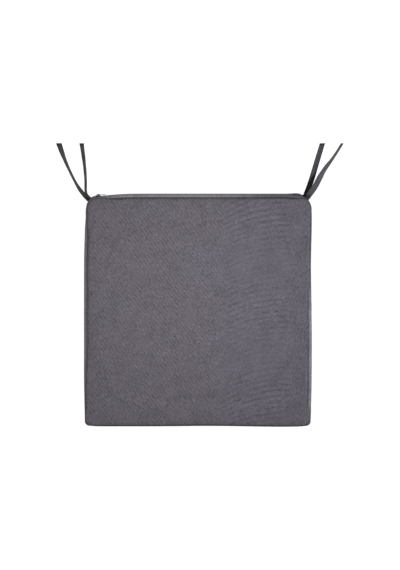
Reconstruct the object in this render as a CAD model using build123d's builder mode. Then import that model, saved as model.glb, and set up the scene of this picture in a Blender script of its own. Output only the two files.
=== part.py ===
"""Square boxed chair seat pad with piped edges, a zipped removable cover and four corner ties.

The pad lies flat: +Z is up, +Y points to the rear edge, which holds the zip and the ties,
and the origin is on the surface under the middle of the pad. All sizes are in millimetres.
"""

import math
import os

from build123d import *

os.makedirs("parts", exist_ok=True)

# Overall size of the pad over its piping
pad_width = 400.0
pad_depth = 409.0
boxing_height = 30.0  # between the two piping centres
crown_rise = 6.0  # top of the pad above the upper piping's centre

# Corner radii of the outline, seen from above
rear_left_radius = 14.0
rear_right_radius = 26.0
front_radius = 7.0
smallest_radius = 2.0  # of an outline drawn further in

# Cover fabric and its seams
fabric_wall = 0.9
seam_gap = 0.05  # between the layers of a sewn seam
seam_allowance = 7.0
lip_thickness = 0.8

# Piping: a fabric sleeve round a filler cord, with a flange that is sewn into the seam
piping_diameter = 5.0
sleeve_wall = 0.8
cord_clearance = 0.1
flange_thickness = 0.8

# Foam core
foam_clearance = 0.3

# Zip in the rear boxing
tape_thickness = 0.6
tape_lip_gap = 1.25  # from the tape's outer edge to the boxing's seam allowance
coil_depth = 2.0
coil_width = 2.2
chain_slit = 2.0  # clear between the two rows, where the slider's post runs
zip_run = 0.35  # clearance round everything that slides
band_clearance = 0.4  # from the slider's flange to the fabric edge
end_seam = 2.0  # from the end of the straight rear edge to the zip's end seam

# Slider and puller
slider_length = 9.0
slider_shoulder = 5.0  # length of the slider's wide part, from its mouth
slider_tail_share = 0.8  # tail width over mouth width
slider_plate = 1.2
slider_flange = 0.8
slider_flange_length = 4.5
slider_corner = 0.6
slider_post_length = 2.5
slider_post_set_back = 0.5  # from the mouth to the post
slider_rest_from_left = 24.5  # slider's middle to the pad's left side, zip closed
bridge_width = 2.0
bridge_length = 4.4
bridge_wall = 0.8
pin_diameter = 0.9
pin_clearance = 0.2
pin_stand_off = 0.3  # from the slider's plate to the pin
puller_thickness = 1.0
puller_width = 5.4
puller_tip_width = 4.3
puller_reach = 14.0  # from the pin's axis to the tip
puller_eye_length = 3.2
puller_hole_length = 3.6
puller_hole_width = 1.6
puller_hole_from_tip = 3.2
puller_pin_corner = 0.6
puller_tip_corner = 1.6

# Ties: flat tapes of the cover fabric
tie_width = 10.0
tie_thickness = 1.2

# Worked-out levels and faces
half_width = pad_width / 2
half_depth = pad_depth / 2
piping_radius = piping_diameter / 2
low_seam_z = piping_radius
high_seam_z = low_seam_z + boxing_height
zip_z = (low_seam_z + high_seam_z) / 2
layer_step = flange_thickness / 2 + seam_gap  # from a seam's middle to the next layer
boxing_inset = piping_diameter + seam_gap
lip_inset = boxing_inset + seam_allowance
boxing_low_z = low_seam_z + layer_step
boxing_high_z = high_seam_z - layer_step
straight_left = -half_width + rear_left_radius
straight_right = half_width - rear_right_radius
zip_left = straight_left + end_seam
zip_right = straight_right - end_seam
zip_length = zip_right - zip_left
zip_mid_x = (zip_left + zip_right) / 2
band_face_y = half_depth - boxing_inset
tape_face_y = band_face_y - fabric_wall - seam_gap
tape_back_y = tape_face_y - tape_thickness
coil_face_y = tape_face_y + seam_gap + coil_depth
slider_x = -half_width + slider_rest_from_left
tape_outer = (boxing_high_z - boxing_low_z) / 2 - lip_thickness - tape_lip_gap
chain_half = chain_slit / 2 + coil_width
flange_inside = chain_half + zip_run
slider_half = flange_inside + slider_flange
band_edge = slider_half + band_clearance


def outline_face(inset):
    """Draw the pad's outline, moved in by a distance, as a face in the open sketch."""
    left = -half_width + inset
    right = half_width - inset
    front = -half_depth + inset
    rear = half_depth - inset
    corners = [(left, front), (right, front), (right, rear), (left, rear)]
    drawn = [front_radius, front_radius, rear_right_radius, rear_left_radius]
    radii = [max(radius - inset, smallest_radius) for radius in drawn]
    with BuildLine() as loop:
        FilletPolyline(*corners, radius=radii, close=True)
    make_face(loop.edges())


def rim_face(outside, inside):
    """Draw a rim between two insets of the outline in the open sketch."""
    outline_face(outside)
    with BuildSketch(mode=Mode.PRIVATE) as hole:
        outline_face(inside)
    add(hole.sketch, mode=Mode.SUBTRACT)


def crown_sections(wall):
    """Insets and levels of the crown, for a face that lies a wall's thickness inside."""
    seam_top = high_seam_z + layer_step
    crown_top = high_seam_z + crown_rise
    rise = crown_top - seam_top
    steps = [(0.0, 0.0), (1.5, 0.35), (6.0, 0.62), (20.0, 0.85), (55.0, 1.0)]  # inward, up
    return [
        (boxing_inset + wall + step, seam_top + rise * share - wall) for step, share in steps
    ]


def finish(piece, name):
    """Label a piece and write it."""
    piece.part.label = name
    export_step(piece.part, f"parts/{name}.step")


# Cover panels
with BuildPart() as bottom_panel:
    rim_low = low_seam_z - layer_step - lip_thickness
    with BuildSketch(Plane.XY):
        outline_face(boxing_inset + fabric_wall)
    extrude(amount=rim_low)
    with BuildSketch(Plane.XY.offset(rim_low)):
        rim_face(boxing_inset, lip_inset)
    extrude(amount=lip_thickness)
finish(bottom_panel, "bottom_panel")

with BuildPart() as top_panel:
    for inset, level in crown_sections(0.0):
        with BuildSketch(Plane.XY.offset(level)):
            outline_face(inset)
    loft(ruled=True)
    for inset, level in crown_sections(fabric_wall):
        with BuildSketch(Plane.XY.offset(level)):
            outline_face(inset)
    loft(ruled=True, mode=Mode.SUBTRACT)
    with BuildSketch(Plane.XY.offset(high_seam_z + layer_step)):
        rim_face(boxing_inset, lip_inset)
    extrude(amount=lip_thickness)
finish(top_panel, "top_panel")

# Side and front boxing: one strip round the pad, open where the zip band is sewn in
with BuildPart() as boxing_strip:
    with BuildSketch(Plane.XY.offset(boxing_low_z)):
        rim_face(boxing_inset, boxing_inset + fabric_wall)
    extrude(amount=boxing_high_z - boxing_low_z)
    for level in (boxing_low_z, boxing_high_z - lip_thickness):
        with BuildSketch(Plane.XY.offset(level)):
            rim_face(boxing_inset, lip_inset)
        extrude(amount=lip_thickness)
    with BuildSketch(Plane.XY):
        with Locations((zip_mid_x, half_depth)):
            Rectangle(zip_length, 2 * (lip_inset + 1))
    extrude(amount=high_seam_z, mode=Mode.SUBTRACT)
finish(boxing_strip, "boxing_strip")


# Zip band: two fabric strips, each with a lip in its seam, a tape behind it and a row of coil
def zip_side(side):
    """Build one side of the zip, up for side +1 and down for -1."""
    half_height = (boxing_high_z - boxing_low_z) / 2
    along = Plane.YZ.offset(zip_left)

    with BuildPart() as band:
        with BuildSketch(along):
            with BuildLine():
                Polyline(
                    (band_face_y, zip_z + side * band_edge),
                    (band_face_y, zip_z + side * half_height),
                    (half_depth - lip_inset, zip_z + side * half_height),
                    (half_depth - lip_inset, zip_z + side * (half_height - lip_thickness)),
                    (band_face_y - fabric_wall, zip_z + side * (half_height - lip_thickness)),
                    (band_face_y - fabric_wall, zip_z + side * band_edge),
                    close=True,
                )
            make_face()
        extrude(amount=zip_length)

    tape_inner = chain_slit / 2
    tape_middle = (tape_inner + tape_outer) / 2
    with BuildPart() as tape:
        with BuildSketch(Plane.YZ.offset(straight_left)):
            with Locations((tape_face_y - tape_thickness / 2, zip_z + side * tape_middle)):
                Rectangle(tape_thickness, tape_outer - tape_inner)
        extrude(amount=straight_right - straight_left)

    with BuildPart() as coil:
        with BuildSketch(along):
            with Locations(
                (coil_face_y - coil_depth / 2, zip_z + side * (chain_slit + coil_width) / 2)
            ):
                RectangleRounded(coil_depth, coil_width, 0.45 * coil_depth)
        extrude(amount=zip_length)

    return band, tape, coil


for side, word in ((1, "upper"), (-1, "lower")):
    band, tape, coil = zip_side(side)
    finish(band, f"{word}_zip_band")
    finish(tape, f"{word}_zip_tape")
    finish(coil, f"{word}_zip_coil")

# Slider: two plates joined by a post in the chain's slit, with a bridge that holds the puller
plate_face_y = coil_face_y + zip_run + slider_plate
inner_face_y = tape_back_y - zip_run
pin_y = plate_face_y + pin_stand_off + pin_diameter / 2
bridge_inside_y = pin_y + pin_diameter / 2 + pin_clearance
bridge_face_y = bridge_inside_y + bridge_wall
mouth_x = slider_x - slider_length / 2
post_width = chain_slit - 2 * zip_run


def slider_plan():
    """Draw the slider's plate from outside: a wide mouth, narrowing to its tail."""
    tail_half = slider_tail_share * slider_half
    with BuildLine() as plan:
        FilletPolyline(
            (mouth_x, zip_z - slider_half),
            (mouth_x + slider_shoulder, zip_z - slider_half),
            (mouth_x + slider_length, zip_z - tail_half),
            (mouth_x + slider_length, zip_z + tail_half),
            (mouth_x + slider_shoulder, zip_z + slider_half),
            (mouth_x, zip_z + slider_half),
            radius=slider_corner,
            close=True,
        )
    make_face(plan.edges())


def facing_rear(y):
    """Plane at a depth, seen from behind the pad: its X runs along the zip, its Y up."""
    return Plane(origin=(0, y, 0), x_dir=(1, 0, 0), z_dir=(0, -1, 0))


with BuildPart() as zip_slider:
    with BuildSketch(facing_rear(plate_face_y)):
        slider_plan()
    extrude(amount=slider_plate)
    with BuildSketch(facing_rear(inner_face_y)):
        slider_plan()
    extrude(amount=slider_plate)
    with BuildSketch(facing_rear(plate_face_y - slider_plate)):
        for side in (1, -1):
            flange_z = zip_z + side * (slider_half - slider_flange / 2)
            with Locations((mouth_x + slider_flange_length / 2, flange_z)):
                Rectangle(slider_flange_length, slider_flange)
    extrude(amount=plate_face_y - slider_plate - (tape_face_y + zip_run))
    with BuildSketch(facing_rear(plate_face_y - slider_plate / 2)):
        with Locations((mouth_x + slider_post_set_back + slider_post_length / 2, zip_z)):
            RectangleRounded(slider_post_length, post_width, 0.4 * post_width)
    extrude(amount=plate_face_y - inner_face_y)
    bridge_root_y = plate_face_y - slider_plate / 2
    with BuildSketch(Plane.XY.offset(zip_z - bridge_width / 2)):
        with Locations((slider_x, (bridge_root_y + bridge_face_y) / 2)):
            Rectangle(bridge_length, bridge_face_y - bridge_root_y)
    extrude(amount=bridge_width)
    with BuildSketch(Plane.XY.offset(zip_z - bridge_width)):
        with Locations((slider_x, (plate_face_y + bridge_inside_y) / 2)):
            Rectangle(bridge_length - 2 * bridge_wall, bridge_inside_y - plate_face_y)
    extrude(amount=2 * bridge_width, mode=Mode.SUBTRACT)
finish(zip_slider, "zip_slider")

# Puller: a flat tab whose cross pin runs under the bridge
with BuildPart() as zip_puller:
    eye_half = bridge_width / 2 + zip_run
    arm_start = slider_x - puller_thickness / 2
    tip = slider_x + puller_reach
    tip_half = puller_tip_width / 2
    with BuildSketch(facing_rear(pin_y + puller_thickness / 2)):
        with BuildLine() as tab:
            FilletPolyline(
                (arm_start, zip_z - puller_width / 2),
                (tip, zip_z - tip_half),
                (tip, zip_z + tip_half),
                (arm_start, zip_z + puller_width / 2),
                radius=(puller_pin_corner, puller_tip_corner, puller_tip_corner, puller_pin_corner),
                close=True,
            )
        make_face(tab.edges())
        with Locations((slider_x, zip_z)):
            Rectangle(2 * puller_eye_length, 2 * eye_half, mode=Mode.SUBTRACT)
        with Locations((tip - puller_hole_from_tip, zip_z)):
            SlotOverall(puller_hole_length, puller_hole_width, mode=Mode.SUBTRACT)
    extrude(amount=puller_thickness)
    with BuildSketch(Plane.XY.offset(zip_z - eye_half - pin_diameter / 2)):
        with Locations((slider_x, pin_y)):
            Circle(pin_diameter / 2)
    extrude(amount=2 * eye_half + pin_diameter)
finish(zip_puller, "zip_puller")


# Piping
def piping(seam_z):
    """Build the sleeve with its flange, and the filler cord inside it."""
    seam_middle = Plane.XY.offset(seam_z)
    with BuildSketch(seam_middle) as ring:
        outline_face(piping_radius)
    path = ring.sketch.faces()[0].outer_wire()
    start = path @ 0
    across = Plane(origin=start, z_dir=path % 0)

    with BuildPart() as sleeve:
        with BuildSketch(across):
            Circle(piping_radius)
            Circle(piping_radius - sleeve_wall, mode=Mode.SUBTRACT)
        sweep(path=path)
        with BuildSketch(seam_middle.offset(-flange_thickness / 2)):
            rim_face(piping_diameter - sleeve_wall / 2, lip_inset)
        extrude(amount=flange_thickness)

    with BuildPart() as cord:
        with BuildSketch(across):
            Circle(piping_radius - sleeve_wall - cord_clearance)
        sweep(path=path)

    return sleeve, cord


for seam_z, word in ((high_seam_z, "top"), (low_seam_z, "bottom")):
    sleeve, cord = piping(seam_z)
    finish(sleeve, f"{word}_piping_sleeve")
    finish(cord, f"{word}_piping_cord")

# Foam core: fills the cover between its seam allowances, with a channel behind the zip
foam_side_inset = boxing_inset + fabric_wall + foam_clearance
foam_end_inset = lip_inset + foam_clearance
foam_low_z = low_seam_z - layer_step - lip_thickness + foam_clearance
foam_step_low_z = boxing_low_z + lip_thickness + foam_clearance
foam_step_high_z = boxing_high_z - lip_thickness - foam_clearance
dome = crown_sections(fabric_wall + foam_clearance)[2:]  # above the panel's seam allowance

with BuildPart() as foam_core:
    with BuildSketch(Plane.XY.offset(foam_step_low_z)):
        outline_face(foam_side_inset)
    extrude(amount=foam_step_high_z - foam_step_low_z)
    with BuildSketch(Plane.XY.offset(foam_low_z)):
        outline_face(foam_end_inset)
    extrude(amount=dome[0][1] - foam_low_z)
    for inset, level in dome:
        with BuildSketch(Plane.XY.offset(level)):
            outline_face(max(inset, foam_end_inset))
    loft(ruled=True)
    tape_room = tape_outer + foam_clearance
    with BuildSketch(Plane.YZ.offset(straight_left - foam_clearance)):
        with Locations((half_depth, zip_z)):
            Rectangle(2 * (half_depth - tape_back_y + foam_clearance), 2 * tape_room)
            Rectangle(
                2 * (half_depth - inner_face_y + slider_plate + foam_clearance),
                2 * (slider_half + foam_clearance),
            )
    extrude(amount=straight_right - straight_left + 2 * foam_clearance, mode=Mode.SUBTRACT)
finish(foam_core, "foam_core")

# Ties: each leaves the seam at a rear corner, comes down to the surface and lies on it
tie_routes = {
    "left_inner_tie": [
        (-189.5, 198.8, 5.9),
        (-194.2, 209.8, 5.9),
        (-196.6, 224.6, 3.2),
        (-197.6, 241.0, 1.1),
        (-199.4, 257.5, 1.0),
        (-201.6, 275.0, 1.0),
        (-204.2, 293.5, 1.0),
    ],
    "left_outer_tie": [
        (-192.9, 196.3, 7.6),
        (-202.1, 204.0, 7.6),
        (-212.0, 217.0, 5.0),
        (-220.0, 232.5, 1.6),
        (-228.5, 251.0, 1.0),
        (-237.0, 272.0, 1.0),
        (-243.9, 293.5, 1.0),
    ],
    "right_inner_tie": [
        (184.5, 196.7, 5.9),
        (190.5, 207.1, 5.9),
        (196.1, 221.0, 3.3),
        (201.5, 236.5, 1.1),
        (207.0, 253.5, 1.0),
        (213.2, 272.5, 1.0),
        (219.4, 293.5, 1.0),
    ],
    "right_outer_tie": [
        (187.1, 195.2, 7.6),
        (194.4, 204.6, 7.6),
        (203.4, 217.0, 6.0),
        (211.0, 231.5, 3.0),
        (221.6, 248.0, 1.9),
        (237.0, 269.5, 1.0),
        (253.5, 293.5, 1.0),
    ],
}


def arc_radii(points):
    """Largest tangent arc that each corner of a route allows."""
    corners = [Vector(*point) for point in points]
    runs = [b - a for a, b in zip(corners, corners[1:])]
    return [
        0.45 * min(a.length, b.length) / math.tan(math.radians(a.get_angle(b) / 2))
        for a, b in zip(runs, runs[1:])
    ]


for name, points in tie_routes.items():
    radii = arc_radii(points)
    with BuildPart() as tie:
        with BuildLine() as route:
            FilletPolyline(*points, radius=radii)
        path = route.wires()[0]
        with BuildSketch(Plane(origin=path @ 0, x_dir=(0, 0, 1), z_dir=path % 0)):
            Rectangle(tie_thickness, tie_width)
        sweep(path=path)
    finish(tie, name)
    section = tie_width * tie_thickness
    print(name, "length", round(path.length, 1), "radii", [round(r, 1) for r in radii])
    print("  volume over section times length", round(tie.part.volume / (section * path.length), 4))
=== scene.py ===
import math

import bmesh
import bpy
from mathutils import Matrix, Vector, noise


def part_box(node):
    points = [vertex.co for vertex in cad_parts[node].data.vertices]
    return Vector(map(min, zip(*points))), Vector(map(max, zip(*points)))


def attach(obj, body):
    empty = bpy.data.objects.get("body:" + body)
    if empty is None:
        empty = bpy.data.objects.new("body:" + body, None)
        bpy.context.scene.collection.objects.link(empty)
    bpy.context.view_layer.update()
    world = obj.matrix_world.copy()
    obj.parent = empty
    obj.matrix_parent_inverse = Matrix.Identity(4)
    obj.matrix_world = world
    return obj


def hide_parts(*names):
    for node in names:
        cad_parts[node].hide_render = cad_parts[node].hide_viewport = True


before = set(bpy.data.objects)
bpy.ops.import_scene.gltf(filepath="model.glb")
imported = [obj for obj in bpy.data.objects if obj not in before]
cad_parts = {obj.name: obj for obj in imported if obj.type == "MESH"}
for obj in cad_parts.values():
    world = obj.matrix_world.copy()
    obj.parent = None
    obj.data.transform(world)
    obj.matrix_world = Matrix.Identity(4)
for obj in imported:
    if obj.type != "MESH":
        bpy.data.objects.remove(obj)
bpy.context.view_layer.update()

mm = 0.001
print("frame loaded")

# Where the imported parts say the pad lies
sleeveLow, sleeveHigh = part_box("top_piping_sleeve")
floorLow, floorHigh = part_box("bottom_piping_sleeve")
halfWidth = sleeveHigh.x
halfDepth = sleeveHigh.y
highSeam = (sleeveLow.z + sleeveHigh.z) / 2
lowSeam = (floorLow.z + floorHigh.z) / 2
pipeRadius = (sleeveHigh.z - sleeveLow.z) / 2
zipMiddle = (highSeam + lowSeam) / 2
bandLow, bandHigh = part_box("upper_zip_band")
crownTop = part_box("top_panel")[1].z

pad = {
    "cornerRadii": [7 * mm, 7 * mm, 26 * mm, 17 * mm],  # front left, front right, rear right, rear left
    "smallestRadius": 2 * mm,
    "crowding": 0.6,  # how much closer together points are at the corners
    "faceInset": 5.05 * mm,  # boxing's outer face, inside the piping's outer edge
    "lipInset": 12.05 * mm,  # inner edge of the seam allowances
    "wall": 0.9 * mm,
    "lip": 0.8 * mm,
    "layerStep": 0.45 * mm,  # from a seam's middle to the fabric above or below it
}

# How the cover is pulled out of its drawn outline: size, how far it reaches, and where its middle is
pulls = {
    "leftRear": (5.8 * mm, 60 * mm),
    "leftFront": (1.5 * mm, 60 * mm),
    "leftSwell": (0.3 * mm, 90 * mm, -30 * mm),
    "leftNub": (0.9 * mm, 8 * mm, 180 * mm),
    "rightRear": (1.3 * mm, 32 * mm),
    "rightWaist": (1.9 * mm, 62 * mm, 75 * mm),
    "rightSwell": (0.7 * mm, 80 * mm, -70 * mm),
    "rightFront": (2.1 * mm, 36 * mm),
    "rearLeft": (6.0 * mm, 46 * mm),
    "rearAll": 0.35 * mm,
    "rearRightTop": (2.1 * mm, 13 * mm, 175 * mm),
    "rearTopLevels": (18 * mm, 30 * mm),  # the upper seam only
    "rearRightFoot": (0.9 * mm, 10 * mm, 174 * mm),
    "rearFootLevels": (8 * mm, 20 * mm),  # the lower seam only
    "frontLeft": (1.6 * mm, 14 * mm),  # and front right
    "frontSwell": (0.8 * mm, 50 * mm, 145 * mm),
    "frontWaist": (0.8 * mm, 60 * mm, 20 * mm),
    "inwardFade": 70 * mm,
}

# The zip holds the cover straight: from its middle, from the side edges and from the rear edge
hold = {
    "levels": (7 * mm, 14 * mm),
    "sides": (3 * mm, 15 * mm),
    "rear": (24 * mm, 10 * mm),
}

# Where the panel's edge has rolled out over its piping: how much, and over what X or Y that sets in
rolls = {
    "rightX": (176 * mm, 190 * mm),
    "right": ((0.25, -10 * mm, 10 * mm), (0.6, 20 * mm, 60 * mm)),
    "front": (0.85, -190 * mm, -165 * mm),
    "leftX": (-190 * mm, -170 * mm),
    "left": (0.7, -170 * mm, -50 * mm),
    "cornerX": (-186 * mm, -140 * mm),
    "corner": (0.7, 125 * mm, 175 * mm),
}


# Colours and nodes
def linearColor(text):
    parts = [int(text[i:i + 2], 16) / 255 for i in (0, 2, 4)]
    return (*[c / 12.92 if c <= 0.04045 else ((c + 0.055) / 1.055) ** 2.4 for c in parts], 1.0)


def addNode(tree, kind, settings=None):
    # a setting is the node's own, or an input's value, or what feeds it: a socket, or another node's first output
    node = tree.nodes.new(kind)
    for key, value in (settings or {}).items():
        if isinstance(value, bpy.types.Node):
            value = value.outputs[0]
        if isinstance(value, bpy.types.NodeSocket):
            tree.links.new(value, node.inputs[key])
        elif isinstance(key, str) and hasattr(node, key):
            setattr(node, key, value)
        else:
            node.inputs[key].default_value = value
    return node


def newMaterial(name):
    material = bpy.data.materials.new(name)
    material.use_nodes = True
    material.node_tree.nodes.clear()
    return material, material.node_tree


def finishMaterial(tree, settings):
    shader = addNode(tree, "ShaderNodeBsdfPrincipled", settings)
    addNode(tree, "ShaderNodeOutputMaterial", {"Surface": shader})


def bandScale(spacing):
    return math.pi / 10 / spacing  # wave texture's scale for one band per spacing


softStep = {"interpolation_type": "SMOOTHSTEP"}


def weaveHeight(tree, spacing):
    # plain weave: warp and weft take turns on top, square by square
    uv = addNode(tree, "ShaderNodeUVMap", {"uv_map": "cloth"})
    warp, weft = (
        addNode(tree, "ShaderNodeTexWave", {"bands_direction": axis, "Scale": bandScale(spacing), "Vector": uv})
        for axis in "XY")
    turns = addNode(tree, "ShaderNodeTexChecker", {"Scale": 1 / spacing, "Vector": uv})
    return addNode(tree, "ShaderNodeMix", {"data_type": "FLOAT", 0: turns.outputs["Fac"],
                                           2: warp.outputs["Fac"], 3: weft.outputs["Fac"]})


coverCloth = {
    "colour": "67626A",
    "coolColour": "67646E",
    "coolPatches": (14.0, 0.48, 0.72, 0.4),  # patches per metre, noise range and strength
    "coolSide": (0.0, 100 * mm, 0.7),  # cooler from here to there in X, and strength
    "thread": 1.1 * mm,  # real yarns lie about 0.5 mm apart, drawn coarser so that they show
    # the colour follows the weave's height: painted shade in its hollows
    "yarnDepth": 0.10,
    "heatherSize": (2.5 * mm, 3.3 * mm, 3.0 * mm),
    "heatherDepth": 0.60,
    "blotchSize": 22 * mm,
    "blotchDepth": 0.12,
    # the darkest that painted shade may make the cloth
    "darkestPaintedShade": 0.08,
    "relief": 0.25 * mm,
}

# Watered shimmer of the top panel, in three runs side by side: streaks, arcs, streaks
shimmer = {
    "leftEnd": (30 * mm, 64 * mm),
    "rightStart": (148 * mm, 176 * mm),
    # each run's turn in degrees, spacing, wander and strength; the middle run's lines are arcs and aren't turned
    "left": (-37, 5.5 * mm, 2.4, 0.85),
    "middle": (0, 10.0 * mm, 3.0, 1.0),
    "right": (30, 5.5 * mm, 2.4, 0.5),
    "arcMiddle": 146 * mm,
    "arcRadius": 180 * mm,
    "arcFade": 160 * mm,  # the arcs come and go along the pad at this length
    "arcStrength": (0.68, 0.40),  # their usual strength and how much it comes and goes
    "clumps": (60.0, 0.30, 0.62),  # streaks come in clumps: clumps per metre, noise range
    "streakDepth": 0.15,
    "slubSize": (3.0 * mm, 7 * mm, 1.0),
    "slubDepth": 0.36,
}


def addShimmer(tree, place, total):
    split = addNode(tree, "ShaderNodeSeparateXYZ", {0: place}).outputs
    leftGone, rightThere = (
        addNode(tree, "ShaderNodeMapRange", {**softStep, "Value": split["X"], "From Min": low, "From Max": high})
        for low, high in (shimmer["leftEnd"], shimmer["rightStart"]))
    leftShare = addNode(tree, "ShaderNodeMath", {"operation": "SUBTRACT", 0: 1.0, 1: leftGone})
    middleShare = addNode(tree, "ShaderNodeMath",
                          {"operation": "SUBTRACT", "use_clamp": True, 0: leftGone, 1: rightThere})
    perMetre, low, high = shimmer["clumps"]
    clumps = addNode(tree, "ShaderNodeTexNoise", {"Scale": perMetre, "Detail": 2.0, "Vector": place})
    clumps = addNode(tree, "ShaderNodeMapRange", {**softStep, "Value": clumps, "From Min": low, "From Max": high})

    # the middle run's distance across its arcs grows with the square of X
    offset = addNode(tree, "ShaderNodeMath", {"operation": "SUBTRACT", 0: split["X"], 1: shimmer["arcMiddle"]})
    square = addNode(tree, "ShaderNodeMath", {"operation": "MULTIPLY", 0: offset, 1: offset})
    drop = addNode(tree, "ShaderNodeMath",
                   {"operation": "MULTIPLY_ADD", 0: square, 1: 0.5 / shimmer["arcRadius"], 2: split["Y"]})
    arched = addNode(tree, "ShaderNodeCombineXYZ", {0: drop, 1: split["X"]})
    usual, change = shimmer["arcStrength"]
    phase = addNode(tree, "ShaderNodeMath",
                    {"operation": "MULTIPLY", 0: split["Y"], 1: 2 * math.pi / shimmer["arcFade"]})
    fade = addNode(tree, "ShaderNodeMath", {"operation": "COSINE", 0: phase})
    fade = addNode(tree, "ShaderNodeMath", {"operation": "MULTIPLY_ADD", 0: fade, 1: change, 2: usual})
    middleShare = addNode(tree, "ShaderNodeMath", {"operation": "MULTIPLY", 0: middleShare, 1: fade})

    for name, share in (("left", leftShare), ("middle", middleShare), ("right", rightThere)):
        turn, spacing, wander, strength = shimmer[name]
        turned = arched
        if turn:
            turned = addNode(tree, "ShaderNodeMapping", {"Rotation": (0, 0, math.radians(turn)), "Vector": place})
        wave = addNode(tree, "ShaderNodeTexWave",
                       {"Scale": bandScale(spacing), "Distortion": wander, "Detail": 1.0, "Detail Scale": 0.22,
                        "Detail Roughness": 0.4, "Vector": turned}).outputs["Fac"]
        drawn = addNode(tree, "ShaderNodeMapping",
                        {"Scale": tuple(1 / size for size in shimmer["slubSize"]), "Vector": turned})
        slub = addNode(tree, "ShaderNodeTexNoise", {"Scale": 1.0, "Detail": 1.0, "Vector": drawn})
        swing = addNode(tree, "ShaderNodeMath", {"operation": "SUBTRACT", 0: wave, 1: 0.5})
        for factor in (2 * strength * shimmer["streakDepth"], clumps):
            swing = addNode(tree, "ShaderNodeMath", {"operation": "MULTIPLY", 0: swing, 1: factor})
        slub = addNode(tree, "ShaderNodeMath", {"operation": "SUBTRACT", 0: slub, 1: 0.5})
        swing = addNode(tree, "ShaderNodeMath",
                        {"operation": "MULTIPLY_ADD", 0: slub, 1: 2 * shimmer["slubDepth"], 2: swing})
        total = addNode(tree, "ShaderNodeMath", {"operation": "MULTIPLY_ADD", 0: swing, 1: share, 2: total})
    return total


def clothMaterial(name, settings, shimmers, sheen, bump):
    # polyester canvas, plain weave: matt, mottled by its uneven yarns, a faint watered shimmer on the face
    material, tree = newMaterial(name)
    place = addNode(tree, "ShaderNodeTexCoord").outputs["Object"]
    height = weaveHeight(tree, settings["thread"])
    grain = addNode(tree, "ShaderNodeMapping", {"Scale": tuple(1 / size for size in settings["heatherSize"]),
                                                "Vector": place})
    heather = addNode(tree, "ShaderNodeTexNoise",
                      {"Scale": 1.0, "Detail": 3.0, "Roughness": 0.55, "Vector": grain})
    blotch = addNode(tree, "ShaderNodeTexNoise", {"Scale": 1 / settings["blotchSize"], "Detail": 3.0,
                                                  "Roughness": 0.6, "Vector": place})
    total = 0.0
    for pattern, depth in ((heather, 2 * settings["heatherDepth"]), (blotch, 4 * settings["blotchDepth"]),
                           (height, settings["yarnDepth"])):
        swing = addNode(tree, "ShaderNodeMath", {"operation": "SUBTRACT", 0: pattern, 1: 0.5})
        total = addNode(tree, "ShaderNodeMath", {"operation": "MULTIPLY_ADD", 0: swing, 1: depth, 2: total})
    if shimmers:
        total = addShimmer(tree, place, total)

    # cooler in patches and towards the right side
    perMetre, low, high, strength = settings["coolPatches"]
    patch = addNode(tree, "ShaderNodeTexNoise", {"Scale": perMetre, "Detail": 2.0, "Vector": place})
    patch = addNode(tree, "ShaderNodeMapRange",
                    {**softStep, "Value": patch, "From Min": low, "From Max": high, "To Max": strength})
    across = addNode(tree, "ShaderNodeSeparateXYZ", {0: place}).outputs["X"]
    low, high, strength = settings["coolSide"]
    side = addNode(tree, "ShaderNodeMapRange",
                   {**softStep, "Value": across, "From Min": low, "From Max": high, "To Max": strength})
    cool = addNode(tree, "ShaderNodeMath", {"operation": "ADD", "use_clamp": True, 0: patch, 1: side})
    tint = addNode(tree, "ShaderNodeMix", {"data_type": "RGBA", 0: cool, 6: linearColor(settings["colour"]),
                                           7: linearColor(settings["coolColour"])}).outputs[2]
    # painted shade, darkest where the cloth turns into a seam or away from the light, and painted light where the
    # amount is negative
    paintedShading = addNode(tree, "ShaderNodeAttribute", {"attribute_name": "paintedShading"}).outputs["Fac"]
    kept = addNode(tree, "ShaderNodeMath", {"operation": "SUBTRACT", 0: 1.0, 1: paintedShading})
    kept = addNode(tree, "ShaderNodeMath", {"operation": "MAXIMUM", 0: kept, 1: settings["darkestPaintedShade"]})
    for operation, amount in (("ADD", 1.0), ("MULTIPLY", kept)):
        total = addNode(tree, "ShaderNodeMath", {"operation": operation, 0: total, 1: amount})
    shade = addNode(tree, "ShaderNodeVectorMath", {"operation": "SCALE", 0: tint, "Scale": total})
    relief = addNode(tree, "ShaderNodeBump", {"Strength": bump, "Distance": settings["relief"], "Height": height})
    finishMaterial(tree, {"Roughness": 0.88, "IOR": 1.45, "Specular IOR Level": 0.25, "Sheen Weight": sheen,
                          "Sheen Roughness": 0.45, "Base Color": shade, "Normal": relief})
    return material


coverFabric = clothMaterial("polyesterCanvasCover", coverCloth, True, 0.06, 0.5)
sideCloth = dict(coverCloth, colour="656166", coolColour="64626A", heatherDepth=0.40)
boxingFabric = clothMaterial("polyesterCanvasBoxing", sideCloth, False, 0.06, 0.5)
# the cover's own cloth cut on the bias, painted lighter than the cover: a painted highlight along the piping's top
pipingCloth = dict(coverCloth, colour="757376", coolColour="727178", thread=0.9 * mm)
pipingFabric = clothMaterial("polyesterCanvasBiasBinding", pipingCloth, False, 0.12, 0.45)
tieCloth = dict(coverCloth, colour="5E5A60", coolColour="5B5A60", thread=0.8 * mm)
tieFabric = clothMaterial("polyesterCanvasTieTape", tieCloth, False, 0.08, 0.45)


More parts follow.
